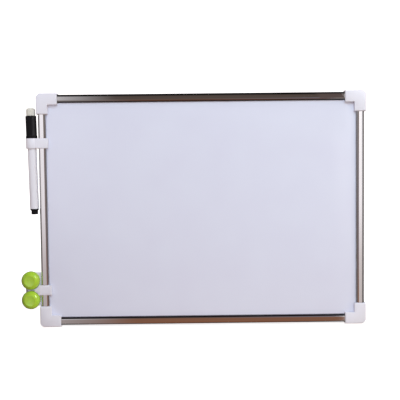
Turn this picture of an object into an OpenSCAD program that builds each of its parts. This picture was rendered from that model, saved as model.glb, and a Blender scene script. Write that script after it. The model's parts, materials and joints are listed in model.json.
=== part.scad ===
// Small framed magnetic whiteboard that leans on a fold-out rear leg.
// Pen clip with a capped marker and a clip-on holder with two round magnets ride on its left rail.
//
// Pieces are drawn in the board's own upright frame and stood up together by on_board():
//   x runs along the board, z up the board from its lowest edge, y goes back through it.
//   y = 0 is the front of the writing sheet, and the front of the board looks along -y.
// Rail, clip and corner sections are drawn as [s, w]: s inwards from the rail's outer edge,
// w forwards from the writing sheet.

/* [Board] */
// Width of the frame over the outer edges of the side rails
frame_w = 346; // [260:1:600]
// Height of the frame over the outer edges of the top and bottom rails
frame_h = 246; // [225:1:420]
// Lean of the board back from upright, in degrees
lean = 16; // [8:1:22]
// Thickness of the lacquered steel writing sheet
sheet_t = 0.4; // [0.3:0.05:0.8]
// Thickness of the core board
core_t = 5.2; // [4.5:0.1:8]
// Thickness of the back sheet
back_t = 0.4; // [0.3:0.05:0.8]
// Play of the panel's thickness in the groove that holds it
panel_gap = 0.1; // [0.05:0.05:0.3]
// Gap between the panel's edges and the bottom of the groove
edge_gap = 0.3; // [0.1:0.05:0.6]

/* [Rails] */
// Width of a rail's face
rail_w = 8.7; // [7.8:0.1:10]
// Height of the rail's flat crown above the writing sheet
crown_h = 2.8; // [2.4:0.1:3.2]
// Radius of the outer front shoulder
shoulder_r = 2.4; // [1:0.1:2.4]
// Wall of the aluminium extrusion
rail_t = 1.1; // [0.8:0.1:1.3]
// Width of the hollow chamber along the outer side
chamber_w = 4; // [3.6:0.1:4.4]
// Radius of the rail's outer back edge
rail_back_r = 0.8; // [0.3:0.1:1]

/* [Corner caps] */
// How far a cap stands out past the rails' outer edges
corner_proud = 1.6; // [1.2:0.1:3]
// Length of each arm from the cap's outer side
corner_arm = 22.3; // [20:0.1:30]
// Width of each arm
corner_w = 12.2; // [11.8:0.1:14]
// Front and back wall of a cap
corner_t = 1.3; // [1:0.1:2]
// Chamfer across the outer corner, seen from the front
corner_cut = 3.4; // [2:0.1:5]
// Radius along the outer front edges
corner_edge_r = 1.4; // [0.6:0.1:1.6]
// Bevel at the end of each arm
arm_bevel = 0.9; // [0.4:0.1:1.2]
// Gap between a cap and the rail inside it
sleeve_gap = 0.1; // [0.05:0.05:0.2]
// Length of the tongue that plugs into a rail
tongue_len = 10; // [7:0.5:11]
// Gap between a tongue and the rail's chamber
tongue_gap = 0.15; // [0.05:0.05:0.3]
// Depth of the bevel at the back that the board stands on
stand_bevel = 4; // [2:0.5:5]

/* [Screws] */
// Shank radius of the countersunk corner screws
screw_r = 1.05; // [0.8:0.05:1.2]
// Head radius of the corner screws
screw_head_r = 2.1; // [1.7:0.1:2.3]
// Length of the corner screws
screw_len = 6.5; // [5:0.5:8]
// Distance of a screw from the end of its rail
screw_inset = 6; // [4:0.5:7]
// Running gap of screws and rivets in their holes
fastener_gap = 0.05; // [0.02:0.01:0.1]

/* [Rail clips] */
// Wall of the jaws that slide along the rail
clip_t = 1.3; // [1:0.1:1.6]
// Gap between the jaws and the rail
clip_gap = 0.12; // [0.08:0.02:0.2]
// Gap between a jaw's tip and the writing sheet
tip_gap = 0.3; // [0.2:0.05:0.6]
// How far the back jaw reaches behind the rail
back_reach = 6.6; // [5:0.1:7.5]
// Bevel along the upper and lower front edges of the jaws
jaw_bevel = 0.6; // [0.3:0.1:0.9]

/* [Pen clip] */
// Height of the pen clip along the rail
pen_clip_h = 10.8; // [8:0.1:14]
// Middle of the pen clip below the frame's top edge
pen_clip_drop = 51.2; // [48:0.1:80]
// Width of the clip's tip past the rail
pen_tip_w = 1.8; // [1.2:0.1:3]
// Radius of the ring's bore
ring_bore_r = 5; // [4.95:0.05:5.4]
// Wall of the ring
ring_t = 1.2; // [1:0.1:1.6]
// Distance of the ring's axis from the rail's outer edge
ring_out = 7.2; // [7.2:0.1:9]
// Lead-in chamfer at both ends of the ring's bore
ring_lead = 0.5; // [0.2:0.1:0.7]
// Distance of the ring's axis behind the writing sheet
ring_back = 0.5; // [0:0.1:2]

/* [Marker] */
// Lean of the marker in its ring, in degrees
marker_tilt = 1.1; // [0.6:0.05:1.4]
// Radius of the barrel
barrel_r = 4.7; // [4.4:0.05:4.75]
// Wall of the barrel
barrel_t = 1; // [0.8:0.1:1.2]
// Length of the barrel below the middle of the ring
barrel_drop = 69.4; // [55:0.1:74]
// Length of the barrel inside the cap
barrel_in_cap = 6.4; // [5:0.1:8]
// Radius of the cap
cap_r = 5.7; // [5.65:0.05:5.9]
// Length of the cap
cap_len = 23.6; // [22:0.1:28]
// Radius of the cap's lower flange
cap_flange_r = 6.05; // [5.95:0.05:6.15]
// Height of the cap's lower flange
cap_flange_h = 2.6; // [1.5:0.1:3.5]
// Depth of the cup that holds the eraser
eraser_seat = 3; // [2:0.1:4]
// Radius of the felt eraser
eraser_r = 4.8; // [4.4:0.05:4.9]
// Height of the eraser above the cap
eraser_h = 8.6; // [6:0.1:10]
// Radius around the eraser's top
eraser_round = 2.2; // [1:0.1:3]
// Radius of the fibre nib
nib_r = 1.5; // [1.2:0.1:1.8]
// Radius of the end plug's knob
plug_r = 3.5; // [3.2:0.1:4.2]
// Length of the cone between the end plug's flange and knob
plug_cone = 1.2; // [0.8:0.1:2.2]
// Length of the end plug outside the barrel
plug_len = 6; // [4:0.1:8]
// Play between the marker's parts that slide or plug together
marker_gap = 0.1; // [0.05:0.01:0.15]

/* [Magnet holder] */
// Middle of the holder's band above the frame's bottom edge
holder_rise = 38.1; // [38:0.1:60]
// Height of the band that crosses the rail
band_h = 10.7; // [8:0.1:13]
// Width of the band's tip past the rail
holder_tip_w = 2.4; // [1.6:0.1:3.5]
// Width of the plate beside the rail
plate_w = 17; // [15:0.1:20]
// Reach of the plate above the middle of the band
plate_up = 18.8; // [17:0.1:22]
// Reach of the plate below the middle of the band
plate_down = 17.1; // [15:0.1:17.2]
// Thickness of the plate
plate_t = 2.4; // [2:0.1:3.5]
// Radius of the plate's outer corners
plate_r = 6; // [3:0.1:7]
// Bevel round the plate's front edge
plate_bevel = 0.5; // [0.2:0.1:0.8]
// Width of the steel keeper strip
keeper_w = 8; // [6:0.1:10]
// Thickness of the keeper strip
keeper_t = 0.8; // [0.5:0.1:1]

/* [Magnets] */
// Radius of a magnet's plastic cap
magnet_r = 9.85; // [8:0.05:9.95]
// Height of a magnet
magnet_h = 8.6; // [6:0.1:11]
// Distance between the two magnets
magnet_pitch = 20.9; // [20.1:0.1:24]
// Distance of the magnets from the rail's outer edge
magnet_out = 11.2; // [10.2:0.1:13]
// Height of the straight rim
magnet_rim_h = 2.2; // [1:0.1:3]
// Radius of the dished face
dish_r = 5.6; // [4:0.1:6]
// Depth of the dished face
dish_d = 0.5; // [0.2:0.1:0.8]
// Radius of the ferrite disc inside
disc_r = 7.8; // [5:0.1:8]
// Thickness of the ferrite disc
disc_t = 3; // [2:0.1:4]
// Gap under a magnet and round its disc
magnet_gap = 0.1; // [0.05:0.05:0.2]

/* [Stand leg] */
// Height of the leg's hinge up the board
hinge_z = 165; // [130:1:180]
// Distance of the hinge axis behind the back sheet
hinge_back = 7; // [6.5:0.1:9]
// Angle between the board and the opened leg, in degrees
leg_open = 29; // [24:1:36]
// Width of the leg under its hinge
leg_top_w = 30; // [28:0.5:40]
// Width of the leg at its foot
leg_foot_w = 22; // [16:0.5:28]
// Depth of the leg's rim
leg_d = 6; // [5:0.1:6.5]
// Thickness of the leg's skin
leg_skin_t = 1.8; // [1.2:0.1:2.4]
// Thickness of the leg's rim and ribs
leg_rib_t = 1.8; // [1.2:0.1:2.4]
// Number of cross ribs between the hinge and the foot
leg_ribs = 5; // [4:1:8]
// Radius of the hinge pin
pin_r = 2; // [1.5:0.1:2.2]
// Running gap of the pin in its bores
pin_gap = 0.06; // [0.03:0.01:0.08]
// Radius of the leg's knuckle
knuckle_r = 4.5; // [4:0.1:4.6]
// Width of the leg's knuckle
knuckle_w = 20; // [16:0.5:24]
// Height of the rubber foot on the leg
foot_h = 9; // [7:0.5:14]
// Wall of the rubber foot
foot_t = 1.2; // [0.8:0.1:1.4]
// Depth of the grip grooves round the rubber foot
foot_groove = 0.4; // [0.2:0.1:0.6]
// Rubber under the end of the leg
foot_sole = 2.2; // [1.5:0.1:3]

/* [Leg bracket] */
// Width of the bracket's base
base_w = 46; // [44:0.5:60]
// Height of the bracket's base
base_h = 30; // [26:0.5:44]
// Thickness of the bracket's base
base_t = 2; // [1.5:0.1:2.2]
// Radius of the base's corners
base_r = 4; // [2:0.5:6]
// Thickness of the ears
ear_t = 3.2; // [2.5:0.1:4]
// Thickness of the gussets that stiffen the ears
gusset_t = 1.6; // [1:0.1:1.8]
// Length of the gussets along the base
gusset_len = 4.5; // [3:0.5:5]
// Gap between the ears and the knuckle
ear_gap = 0.2; // [0.1:0.05:0.4]
// Shank radius of the bracket's rivets
rivet_r = 1.6; // [1.2:0.1:1.8]
// Head radius of the rivets
rivet_head_r = 3; // [2.6:0.1:3.2]
// Head height of the rivets
rivet_head_h = 1.1; // [0.8:0.1:1.4]
// Length of the rivets inside the panel
rivet_grip = 4; // [3:0.1:4.2]

/* [Hidden] */
$fn = 64;
eps = 0.01;
// How far cuts run past what they cut, and the reach of the largest cutting blocks
over = 1;
far = 60;

// Panel and rail section, from the writing sheet backwards
panel_t = sheet_t + core_t + back_t;
groove_back = panel_t + panel_gap;
rail_back = groove_back + rail_t;
web_t = rail_t;
groove_s = rail_t + chamber_w + web_t;
panel_s = groove_s + edge_gap;
chamber_mid = rail_t + chamber_w / 2;

// Corner caps
cap_front = crown_h + sleeve_gap + corner_t;
cap_back = rail_back + sleeve_gap + corner_t;
rail_end = rail_w + 3 * sleeve_gap;
tongue_h = rail_back + crown_h - 2 * rail_t - 2 * tongue_gap;
panel_corner = corner_proud + panel_s - panel_gap;
screw_head_depth = screw_head_r - screw_r;
board_w = frame_w + 2 * corner_proud;
board_h = frame_h + 2 * corner_proud;
frame_bottom = corner_proud;
frame_top = corner_proud + frame_h;
rail_left_x = -frame_w / 2;

// Clips on the left rail
clip_front = crown_h + clip_gap + clip_t;
clip_back = rail_back + clip_gap + clip_t;
tip_r = 0.8;
ring_r = ring_bore_r + ring_t;
ring_x = rail_left_x - ring_out;
ring_z = frame_top - pen_clip_drop;
band_z = frame_bottom + holder_rise;
arm_gap = 0.35;
arm_reach = magnet_out - keeper_w / 2 - 2 * magnet_gap;
keeper_inset = 1;
keeper_half = magnet_pitch / 2 + disc_r - keeper_inset;
magnet_x = rail_left_x - magnet_out;
magnet_zs = [band_z + magnet_pitch / 2, band_z - magnet_pitch / 2];
dome_r = magnet_h - magnet_rim_h;
dish_edge_z = magnet_rim_h + sqrt(pow(dome_r, 2) - pow(dish_r - magnet_r + dome_r, 2));
dish_sphere_r = (pow(dish_r, 2) + pow(dish_d, 2)) / (2 * dish_d);

// Heights along the marker, from the middle of the ring
cap_z = pen_clip_h / 2 + cap_flange_r * sin(marker_tilt) + marker_gap / 2;
cap_top = cap_z + cap_len;
barrel_top = cap_z + barrel_in_cap;
barrel_bore_r = barrel_r - barrel_t;
cap_bore_r = barrel_r + 1.5 * marker_gap;
cap_round = 0.4;
collar_h = 1;
nose_r = 3.9;
nose_h = 3;
nose_tip_r = 2.4;
section_out = 6.5;
section_top = barrel_top + collar_h + section_out;
section_len = 8;
nib_out = 4;
nib_top = section_top + nib_out;
nib_round = 1.2;
nib_room = 1;
cup_floor = cap_top - eraser_seat;
plug_insert = 5.5;
plug_flange_t = 0.9;
plug_round = 0.7;
reservoir_z = -barrel_drop + plug_insert + marker_gap;
nib_tail = 6;

// Leg, from its hinge axis. phi is its angle from upright once the board leans on it.
hinge_y = panel_t + hinge_back;
phi = leg_open - lean;
desk_y = cap_back - stand_bevel;
desk_lift = desk_y * sin(lean);
hinge_height = hinge_z * cos(lean) - hinge_y * sin(lean) + desk_lift;
leg_reach = hinge_height / cos(phi);
base_face = -hinge_back + base_t;
leg_shoulder = 2 * knuckle_r;
shoulder_h = 4;
heel_h = 6.5;
heel_gap = 0.1;
foot_gap = 0.05;
foot_grooves = 3;
pocket_from = leg_shoulder + shoulder_h;
pocket_to = leg_reach - foot_sole - foot_h - leg_rib_t;
pocket_pitch = (pocket_to - pocket_from) / (leg_ribs + 1);
ear_in = knuckle_w / 2 + ear_gap;
ear_out = ear_in + ear_t;
pin_head_gap = 0.1;
ear_rim = 0.7;
ear_r = knuckle_r + ear_rim;
ear_half = 7;
pin_head_r = 3;
pin_head_t = 1;
gusset_h = 3.2;
gusset_z = pin_head_r + 0.9;
rivet_inset = 5;
rivet_x = base_w / 2 - rivet_inset;
rivet_z = base_h / 2 - rivet_inset;
rivet_sphere_r = (pow(rivet_head_r, 2) + pow(rivet_head_h, 2)) / (2 * rivet_head_h);

// Origin at the middle of the desk space that the easel covers
foot_y = hinge_y * cos(lean) + hinge_z * sin(lean) + leg_reach * sin(phi) + leg_d / 2 + foot_t;
front_y = -cap_front * cos(lean);
lead_x = max(ring_out + ring_r, magnet_out + magnet_r) - corner_proud;
origin_x = lead_x / 2;
origin_y = -(foot_y + front_y) / 2;

// ---- Frames -------------------------------------------------------------------------------------

// Leans the board back and sets its lower corners down on the desk at z = 0
module on_board()
    translate([origin_x, origin_y, desk_lift]) rotate([-lean, 0, 0]) children();

// [s, w, length] of an upright rail on the left side, from the frame's bottom edge
module on_left_rail(z = 0)
    translate([rail_left_x, 0, frame_bottom + z]) mirror([0, 1, 0]) children();

// Along the marker, with z = 0 in the middle of the clip's ring
module on_marker()
    on_board() translate([ring_x, ring_back, ring_z]) rotate([0, -marker_tilt, 0]) children();

// Forwards from the plate of the magnet holder, at one magnet
module on_magnet(z)
    on_board() translate([magnet_x, 0, z]) rotate([90, 0, 0]) children();

// From the leg's hinge axis, with the leg along -z
module on_leg()
    on_board() translate([0, hinge_y, hinge_z]) rotate([leg_open, 0, 0]) children();

// Everything above the desk, seen from the leg's hinge axis; rise lifts the plane along the leg
module above_desk(rise = 0)
    translate([0, 0, rise - leg_reach]) rotate([-phi, 0, 0])
        translate([-far, -far, 0]) cube([2 * far, 2 * far, 4 * far]);

// ---- Panel --------------------------------------------------------------------------------------

// One layer of the panel, from depth y backwards
module panel_layer(y, t)
    translate([rail_left_x + panel_s, y, frame_bottom + panel_s])
        cube([frame_w - 2 * panel_s, t, frame_h - 2 * panel_s]);

// The bracket's four rivet places, along +y from the back sheet's face
module at_rivets()
    for (x = [-rivet_x, rivet_x], z = [-rivet_z, rivet_z])
        translate([x, panel_t, hinge_z + z]) rotate([-90, 0, 0]) children();

module rivet_holes()
    at_rivets() translate([0, 0, -rivet_grip - fastener_gap])
        cylinder(r = rivet_r + fastener_gap, h = rivet_grip + base_t + over);

module writing_sheet()
    color("#e6e7f4") on_board() panel_layer(0, sheet_t);

module core_panel()
    color("#b58f62") on_board() difference() {
        panel_layer(sheet_t, core_t);
        rivet_holes();
    }

module back_sheet()
    color("#c9ccd0") on_board() difference() {
        panel_layer(sheet_t + core_t, back_t);
        rivet_holes();
    }

// ---- Rails --------------------------------------------------------------------------------------

// Outline of a rail, grown by g for what fits round it
module rail_outline(g = 0) {
    translate([-g, -rail_back + rail_back_r]) square([rail_w + 2 * g, rail_back - rail_back_r]);
    translate([rail_back_r, -rail_back - g]) square([rail_w - rail_back_r + g, rail_back]);
    translate([rail_back_r, rail_back_r - rail_back]) circle(r = rail_back_r + g);
    translate([-g, -eps]) square([shoulder_r + 2 * g, crown_h - shoulder_r + eps]);
    translate([shoulder_r, -eps]) square([rail_w - crown_h - shoulder_r, crown_h + g + eps]);
    translate([shoulder_r, crown_h - shoulder_r]) circle(r = shoulder_r + g);
    translate([rail_w - crown_h, 0]) circle(r = crown_h + g);
}

// The extrusion: a closed chamber outside, a groove for the panel and a hollow rounded lip inside
module rail_section()
    difference() {
        rail_outline();
        translate([rail_t, rail_t - rail_back]) square([chamber_w, rail_back + crown_h - 2 * rail_t]);
        translate([groove_s, -groove_back]) square([rail_w, groove_back]);
        intersection() {
            translate([rail_w - crown_h, 0]) circle(r = crown_h - rail_t);
            translate([groove_s, -eps]) square([rail_w, crown_h]);
        }
    }

// A rail along z with a screw hole through its back wall near each end
module rail_bar(frame_length) {
    length = frame_length - 2 * rail_end;
    difference() {
        linear_extrude(length, center = true) rail_section();
        for (side = [-1, 1])
            translate([chamber_mid, 0, side * (length / 2 - screw_inset)]) rotate([90, 0, 0])
                cylinder(r = screw_r + fastener_gap, h = rail_back + over);
    }
}

module flat_rail()
    translate([0, 0, frame_bottom]) rotate(180, [1, 0, 1]) rail_bar(frame_w);

module upright_rail()
    on_left_rail(frame_h / 2) rail_bar(frame_h);

module rail_bottom()
    color("#b9b6b4") on_board() flat_rail();

module rail_top()
    color("#b9b6b4") on_board() translate([0, 0, board_h]) mirror([0, 0, 1]) flat_rail();

module rail_left()
    color("#b9b6b4") on_board() upright_rail();

module rail_right()
    color("#b9b6b4") on_board() mirror([1, 0, 0]) upright_rail();

// ---- Corner caps --------------------------------------------------------------------------------
// Drawn as [a, b, w] from the cap's outer corner: a and b along its arms, w forwards.

// Section across an arm's outer side: rounded in front and bevelled at the arm's end
module cap_side()
    difference() {
        translate([0, -cap_back]) square([corner_arm, cap_back + cap_front]);
        translate([0, cap_front - corner_edge_r]) difference() {
            translate([-eps, 0]) square([corner_edge_r + eps, corner_edge_r + eps]);
            translate([corner_edge_r, 0]) circle(r = corner_edge_r);
        }
        translate([corner_arm, cap_front]) rotate(45)
            square(arm_bevel * sqrt(2), center = true);
    }

// The L seen from the front
module cap_plan()
    polygon([[corner_cut, 0], [corner_arm, 0], [corner_arm, corner_w], [corner_w, corner_w],
        [corner_w, corner_arm], [0, corner_arm], [0, corner_cut]]);

// An arm's own frame: [s, w] across it, z along it from the cap's outer corner
module across_arm(second)
    if (second)
        translate([0, corner_proud, 0]) rotate([90, 0, 90]) children();
    else
        translate([corner_proud, 0, 0]) mirror([0, 1, 0]) rotate([90, 0, 0]) children();

// What slides into one arm: the rail's end with the sheet side open, and the panel's corner
module arm_pocket()
    translate([0, 0, corner_proud + rail_end - sleeve_gap])
        linear_extrude(corner_arm) rail_outline(sleeve_gap);

module arm_tongue()
    translate([rail_t + tongue_gap, rail_t + tongue_gap - rail_back, corner_proud + rail_end - over])
        cube([chamber_w - 2 * tongue_gap, tongue_h, tongue_len + over]);

// A countersunk screw from the back of an arm; play widens it for the hole
module arm_screw(play = 0)
    translate([chamber_mid, -cap_back, corner_proud + rail_end + screw_inset]) rotate([-90, 0, 0]) {
        cylinder(r = screw_r + play, h = screw_len + play);
        translate([0, 0, -play])
            cylinder(r1 = screw_head_r + 2 * play, r2 = screw_r, h = screw_head_depth + 2 * play);
    }

// The bevel that the board stands on, cut along the desk
module stand_cut()
    translate([-over, 0, -desk_y]) rotate([180 + lean, 0, 0]) cube([corner_arm + 2 * over, far, far]);

module corner_cap()
    difference() {
        union() {
            difference() {
                intersection() {
                    translate([0, 0, -cap_back]) linear_extrude(cap_back + cap_front) cap_plan();
                    mirror([0, 1, 0]) rotate([90, 0, 0]) linear_extrude(corner_arm) cap_side();
                    rotate([90, 0, 90]) linear_extrude(corner_arm) cap_side();
                }
                for (second = [false, true]) across_arm(second) arm_pocket();
                translate([panel_corner, panel_corner, -groove_back])
                    cube([corner_arm, corner_arm, groove_back + panel_gap]);
            }
            for (second = [false, true]) across_arm(second) arm_tongue();
        }
        for (second = [false, true]) across_arm(second) arm_screw(fastener_gap);
        stand_cut();
    }

// The lower left corner's place, with a along x, b up the board and w forwards
module lower_left()
    translate([-board_w / 2, 0, 0]) rotate([90, 0, 0]) children();

module to_left(top)
    if (top)
        translate([0, 0, board_h]) mirror([0, 0, 1]) lower_left() children();
    else
        lower_left() children();

module corner_bottom_left()
    color("#e3dfe8") on_board() to_left(false) corner_cap();

module corner_top_left()
    color("#e3dfe8") on_board() to_left(true) corner_cap();

module corner_bottom_right()
    color("#e3dfe8") on_board() mirror([1, 0, 0]) to_left(false) corner_cap();

module corner_top_right()
    color("#e3dfe8") on_board() mirror([1, 0, 0]) to_left(true) corner_cap();

module corner_screws()
    color("#9a9ca0") on_board()
        for (right = [0, 1], top = [false, true], second = [false, true])
            mirror([right, 0, 0]) to_left(top) across_arm(second) arm_screw();

// ---- Clips on the left rail ---------------------------------------------------------------------

// Section of the jaws that hold the rail: a front jaw with a tip, an outer wall and a back jaw
module jaw_section(tip_w)
    difference() {
        union() {
            translate([-clip_gap - clip_t, -clip_back]) square([clip_t + clip_gap, clip_back + clip_front]);
            translate([-clip_gap - clip_t, -clip_back]) square([clip_t + clip_gap + back_reach, clip_t]);
            translate([-clip_gap - clip_t, tip_gap])
                square([clip_t + 2 * clip_gap + rail_w + tip_w - tip_r, clip_front - tip_gap]);
            translate([0, tip_gap]) square([rail_w + clip_gap + tip_w, clip_front - tip_gap - tip_r]);
            translate([rail_w + clip_gap + tip_w - tip_r, clip_front - tip_r]) circle(r = tip_r);
        }
        rail_outline(clip_gap);
    }

// A [s, w] section of height h, with its upper and lower front edges bevelled
module clip_band(h)
    intersection() {
        linear_extrude(h, center = true) children();
        rotate([90, 0, 90]) linear_extrude(2 * far, center = true)
            polygon([[-clip_back, -h / 2], [clip_front - jaw_bevel, -h / 2],
                [clip_front, -h / 2 + jaw_bevel], [clip_front, h / 2 - jaw_bevel],
                [clip_front - jaw_bevel, h / 2], [-clip_back, h / 2]]);
    }

// The ring's bore, opened a little at both ends
module ring_bore() {
    cylinder(r = ring_bore_r, h = pen_clip_h + 2 * over, center = true);
    for (side = [0, 1]) mirror([0, 0, side]) translate([0, 0, pen_clip_h / 2 - ring_lead])
        cylinder(r1 = ring_bore_r, r2 = ring_bore_r + ring_lead + over, h = ring_lead + over);
}

module pen_clip()
    color("#e6e3ec") on_board() on_left_rail(frame_h - pen_clip_drop) difference() {
        union() {
            clip_band(pen_clip_h) {
                jaw_section(pen_tip_w);
                translate([-ring_out, -ring_back - ring_r / 2])
                    square([ring_out - clip_gap, clip_front + ring_back + ring_r / 2]);
            }
            translate([-ring_out, -ring_back, 0]) cylinder(r = ring_r, h = pen_clip_h, center = true);
        }
        translate([-ring_out, -ring_back, 0]) ring_bore();
    }

// The plate in [s, w, t]: rounded outer corners, and a bevel round its front edge
module plate() {
    edge = plate_w + clip_gap;
    translate([0, 0, plate_r - plate_down]) linear_extrude(plate_up + plate_down - 2 * plate_r)
        polygon([[-edge, -plate_t], [-edge, -plate_bevel], [plate_bevel - edge, 0], [0, 0], [0, -plate_t]]);
    translate([plate_r - edge, 0, 0]) rotate([90, 0, 90]) linear_extrude(edge - plate_r)
        polygon([[-plate_t, -plate_down], [-plate_bevel, -plate_down], [0, plate_bevel - plate_down],
            [0, plate_up - plate_bevel], [-plate_bevel, plate_up], [-plate_t, plate_up]]);
    for (t = [plate_r - plate_down, plate_up - plate_r])
        translate([plate_r - edge, -plate_t, t]) rotate([-90, 0, 0]) {
            cylinder(r = plate_r, h = plate_t - plate_bevel);
            translate([0, 0, plate_t - plate_bevel])
                cylinder(r1 = plate_r, r2 = plate_r - plate_bevel, h = plate_bevel);
        }
}

// The arm that runs from the plate to the band, drawn in between the two magnets
module arm_outline()
    difference() {
        translate([-arm_reach, -band_h / 2]) square([arm_reach - clip_gap, band_h]);
        for (side = [-1, 1]) translate([-magnet_out, side * magnet_pitch / 2]) circle(r = magnet_r + arm_gap);
    }

// Turns an outline [s, t] of thickness h, with its front at depth w, to face forwards
module facing(w, h)
    translate([0, w - h, 0]) mirror([0, 1, 0]) rotate([90, 0, 0]) linear_extrude(h) children();

module magnet_holder()
    color("#e3dde6") on_board() on_left_rail(holder_rise) difference() {
        union() {
            clip_band(band_h) jaw_section(holder_tip_w);
            plate();
            facing(clip_front, clip_front + plate_t / 2) arm_outline();
        }
        facing(eps, keeper_t + magnet_gap + eps)
            translate([-magnet_out - keeper_w / 2 - magnet_gap, -keeper_half - magnet_gap])
                square([keeper_w + 2 * magnet_gap, 2 * (keeper_half + magnet_gap)]);
    }

module holder_keeper()
    color("#8d8f94") on_board() on_left_rail(holder_rise)
        facing(0, keeper_t) translate([-magnet_out - keeper_w / 2, -keeper_half])
            square([keeper_w, 2 * keeper_half]);

// ---- Magnets ------------------------------------------------------------------------------------

// Domed cap with a dished face, hollow for its disc
module magnet_cap()
    difference() {
        rotate_extrude() {
            translate([0, magnet_gap]) square([magnet_r, magnet_rim_h - magnet_gap]);
            translate([0, magnet_gap]) square([magnet_r - dome_r, magnet_h - magnet_gap]);
            intersection() {
                translate([magnet_r - dome_r, magnet_rim_h]) circle(r = dome_r);
                translate([0, magnet_gap]) square([magnet_r, magnet_h]);
            }
        }
        translate([0, 0, dish_edge_z - dish_d + dish_sphere_r]) sphere(r = dish_sphere_r, $fn = 128);
        cylinder(r = disc_r + magnet_gap, h = magnet_gap + disc_t);
    }

module magnet_disc()
    translate([0, 0, magnet_gap]) cylinder(r = disc_r, h = disc_t);

module magnet_cap_upper()
    color("#a9d13c") on_magnet(magnet_zs[0]) magnet_cap();

module magnet_disc_upper()
    color("#3a3a3d") on_magnet(magnet_zs[0]) magnet_disc();

module magnet_cap_lower()
    color("#a9d13c") on_magnet(magnet_zs[1]) magnet_cap();

module magnet_disc_lower()
    color("#3a3a3d") on_magnet(magnet_zs[1]) magnet_disc();

// ---- Marker -------------------------------------------------------------------------------------

// A cylinder between two heights
module rod(r, from, to)
    translate([0, 0, from]) cylinder(r = r, h = to - from);

// A cylinder whose upper edge is rounded
module round_top(r, from, to, edge_r)
    rotate_extrude() {
        translate([0, from]) square([r, to - from - edge_r]);
        translate([0, from]) square([r - edge_r, to - from]);
        intersection() {
            translate([r - edge_r, to - edge_r]) circle(r = edge_r);
            translate([0, from]) square([r, to - from]);
        }
    }

module marker_barrel()
    color("#e9e4ec") on_marker() difference() {
        rod(barrel_r, -barrel_drop, barrel_top);
        rod(barrel_bore_r, -barrel_drop - over, barrel_top + over);
    }

module marker_end_plug()
    color("#1d1b20") on_marker() {
        rod(barrel_bore_r - marker_gap / 2, -barrel_drop - plug_flange_t, plug_insert - barrel_drop);
        rod(barrel_r - marker_gap, -barrel_drop - plug_flange_t, -barrel_drop);
        mirror([0, 0, 1]) {
            translate([0, 0, barrel_drop + plug_flange_t])
                cylinder(r1 = barrel_r - marker_gap, r2 = plug_r, h = plug_cone);
            round_top(plug_r, barrel_drop + plug_flange_t / 2, barrel_drop + plug_len, plug_round);
        }
    }

// Plugs into the barrel and carries the nib; the cap slides over its collar
module marker_front_section()
    color("#2a282d") on_marker() difference() {
        union() {
            rod(barrel_bore_r - marker_gap / 2, barrel_top - section_len, barrel_top + collar_h);
            rod(barrel_r, barrel_top, barrel_top + collar_h);
            rod(nose_r, barrel_top, barrel_top + collar_h + nose_h);
            translate([0, 0, barrel_top + collar_h + nose_h])
                cylinder(r1 = nose_r, r2 = nose_tip_r, h = section_top - barrel_top - collar_h - nose_h);
        }
        rod(nib_r + marker_gap / 2, barrel_top - section_len - over, section_top + over);
    }

module marker_nib()
    color("#24324f") on_marker() round_top(nib_r, barrel_top - section_len - nib_tail, nib_top, nib_round);

module ink_reservoir()
    color("#31425f") on_marker() difference() {
        rod(barrel_bore_r - 2 * marker_gap, reservoir_z, barrel_top - section_len - marker_gap);
        rod(nib_r + marker_gap / 2, barrel_top - section_len - nib_tail - marker_gap, barrel_top);
    }

module marker_cap()
    color("#201e23") on_marker() difference() {
        union() {
            round_top(cap_r, cap_z, cap_top, cap_round);
            round_top(cap_flange_r, cap_z, cap_z + cap_flange_h, cap_round);
        }
        rod(cap_bore_r, cap_z - over, barrel_top + collar_h + marker_gap);
        rod(nose_r + 2 * marker_gap, cap_z, nib_top + nib_room);
        rod(eraser_r + marker_gap / 2, cup_floor, cap_top + over);
    }

module cap_eraser()
    color("#d9d3c4") on_marker() round_top(eraser_r, cup_floor, cap_top + eraser_h, eraser_round);

// ---- Stand leg ----------------------------------------------------------------------------------

// Half the leg's width at a distance down from its hinge axis
function leg_half(d) =
    (leg_top_w + (leg_foot_w - leg_top_w) * (d - leg_shoulder) / (leg_reach - leg_shoulder)) / 2;

// Leg outline between two distances down the leg, grown by g at its sides
module leg_outline(from, to, g = 0)
    polygon([[-leg_half(from) - g, -from], [leg_half(from) + g, -from],
        [leg_half(to) + g, -to], [-leg_half(to) - g, -to]]);

// Turns an outline [x, z] into a plate between the depths y0 and y1
module deep(y0, y1)
    translate([0, y1, 0]) rotate([90, 0, 0]) linear_extrude(y1 - y0) children();

module across(r, half)
    rotate([0, 90, 0]) cylinder(r = r, h = 2 * half, center = true);

// The windows between the rim and the cross ribs on the side towards the board
module leg_pockets()
    difference() {
        leg_outline(pocket_from, pocket_to, -leg_rib_t);
        for (i = [1:leg_ribs])
            translate([-far, -pocket_from - i * pocket_pitch]) square([2 * far, leg_rib_t]);
    }

// The strut's outline: narrow at the neck, then wide from the shoulders down to the foot
module strut_outline()
    polygon([[-knuckle_w / 2, -knuckle_r], [knuckle_w / 2, -knuckle_r], [knuckle_w / 2, -leg_shoulder],
        [leg_half(pocket_from), -pocket_from], [leg_half(leg_reach + foot_h), -leg_reach - foot_h],
        [-leg_half(leg_reach + foot_h), -leg_reach - foot_h], [-leg_half(pocket_from), -pocket_from],
        [-knuckle_w / 2, -leg_shoulder]]);

// Side view of the top end: the knuckle, its neck and the heel that meets the bracket when it is open
module knuckle_side()
    difference() {
        union() {
            circle(r = knuckle_r);
            translate([-leg_d / 2, -knuckle_r - over]) square([leg_d, knuckle_r + over]);
            rotate(-leg_open) translate([base_face + heel_gap, 0]) square([-base_face - heel_gap, heel_h]);
        }
        circle(r = pin_r + pin_gap);
    }

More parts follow.
